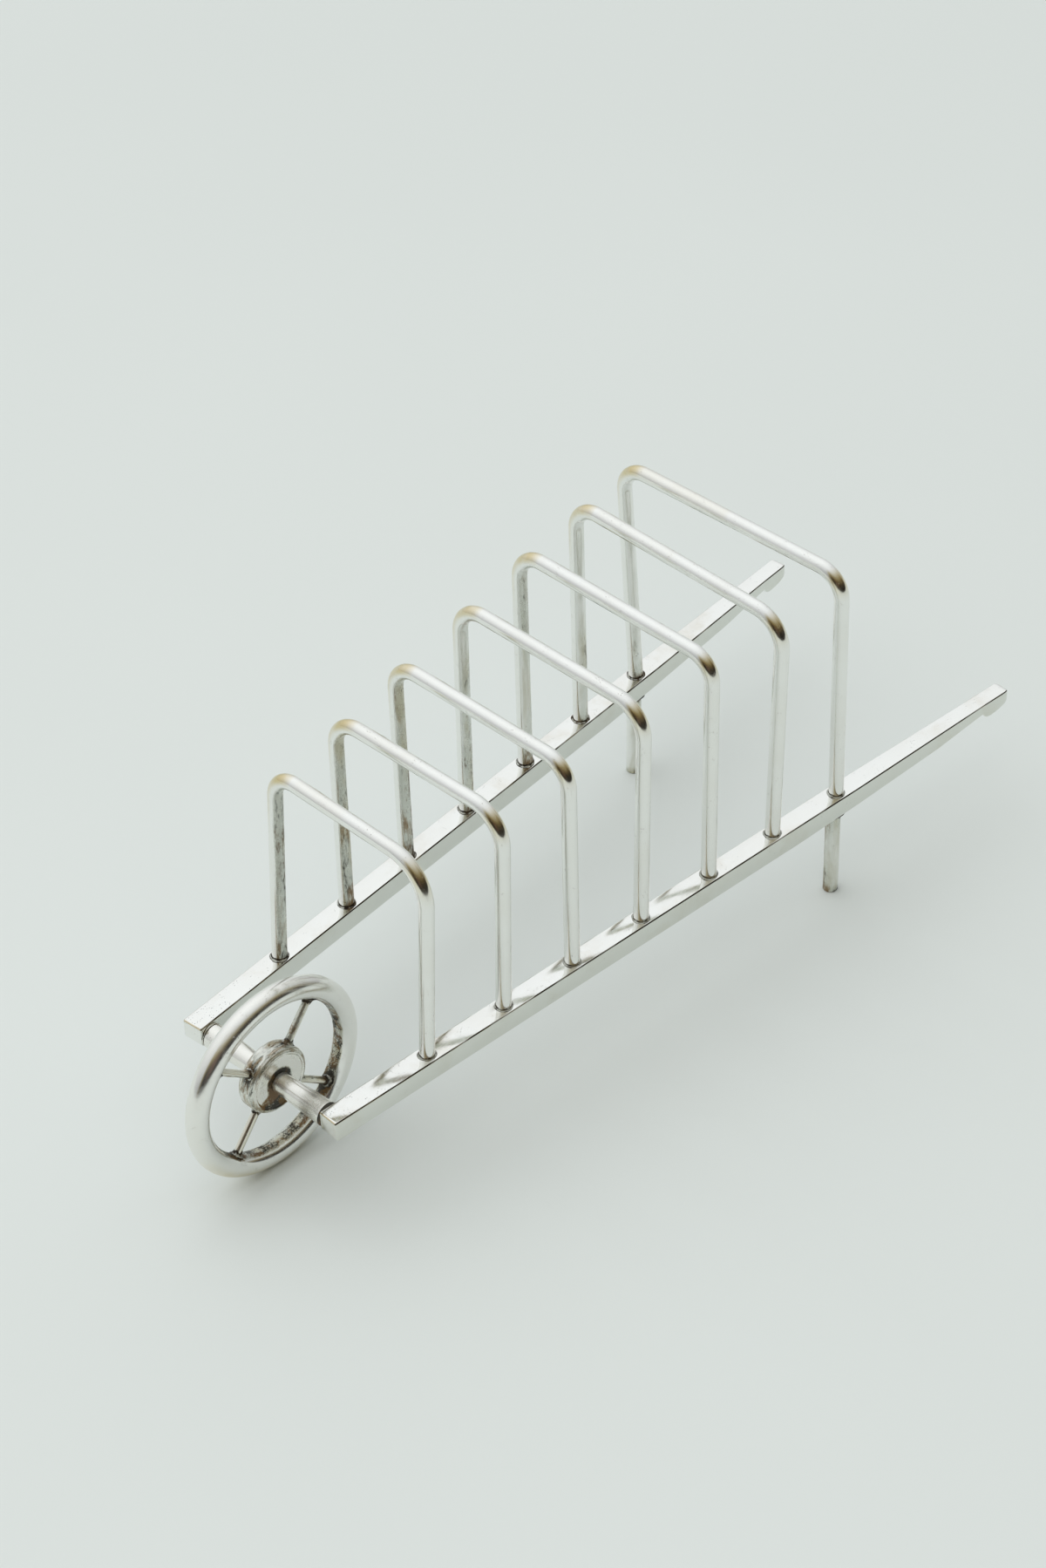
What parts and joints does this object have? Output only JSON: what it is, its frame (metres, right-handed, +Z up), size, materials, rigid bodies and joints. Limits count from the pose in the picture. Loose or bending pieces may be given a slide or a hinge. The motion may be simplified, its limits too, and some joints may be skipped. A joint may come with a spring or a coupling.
{
  "type": "toast rack",
  "caption": "Wheelbarrow-shaped toast rack: wire hoops stand across two splayed square rails, carried by a turning front wheel and short rear legs.",
  "frame": {"origin": "on the table, under the middle of the rack's bounding box", "axes": "+X back along the rack from the wheel to the handles, +Y to the right-hand rail as seen from the handles, +Z up"},
  "size_m": [0.2213, 0.0722, 0.0913],
  "materials": {
    "silver": "polished silver plate, softly worn",
    "worn_silver": "tarnished silver plate with the base metal showing",
    "solder": "dark tarnished solder",
    "steel": "plain steel rod"
  },
  "bodies": {
    "frame": {"rail_left": "silver", "leg_left": "silver", "leg_solder_left": "solder", "rail_right": "silver", "leg_right": "silver", "leg_solder_right": "solder", "hoop_1": "silver", "hoop_1_solder_left": "solder", "hoop_1_solder_right": "solder", "hoop_2": "silver", "hoop_2_solder_left": "solder", "hoop_2_solder_right": "solder", "hoop_3": "silver", "hoop_3_solder_left": "solder", "hoop_3_solder_right": "solder", "hoop_4": "silver", "hoop_4_solder_left": "solder", "hoop_4_solder_right": "solder", "hoop_5": "silver", "hoop_5_solder_left": "solder", "hoop_5_solder_right": "solder", "hoop_6": "silver", "hoop_6_solder_left": "solder", "hoop_6_solder_right": "solder", "hoop_7": "silver", "hoop_7_solder_left": "solder", "hoop_7_solder_right": "solder"},
    "wheel": {"wheel_rim": "silver", "wheel_hub": "silver", "spoke_1": "worn_silver", "spoke_2": "worn_silver", "spoke_3": "worn_silver", "spoke_4": "worn_silver", "axle_arm_left": "silver", "axle_arm_right": "silver", "axle_rod": "steel"}
  },
  "joints": [
    {"name": "wheel_spin", "type": "hinge", "parent": "frame", "child": "wheel", "pos_m": [-0.0867, 0, 0.0239], "axis": [0, 1, 0], "continuous": true}
  ]
}
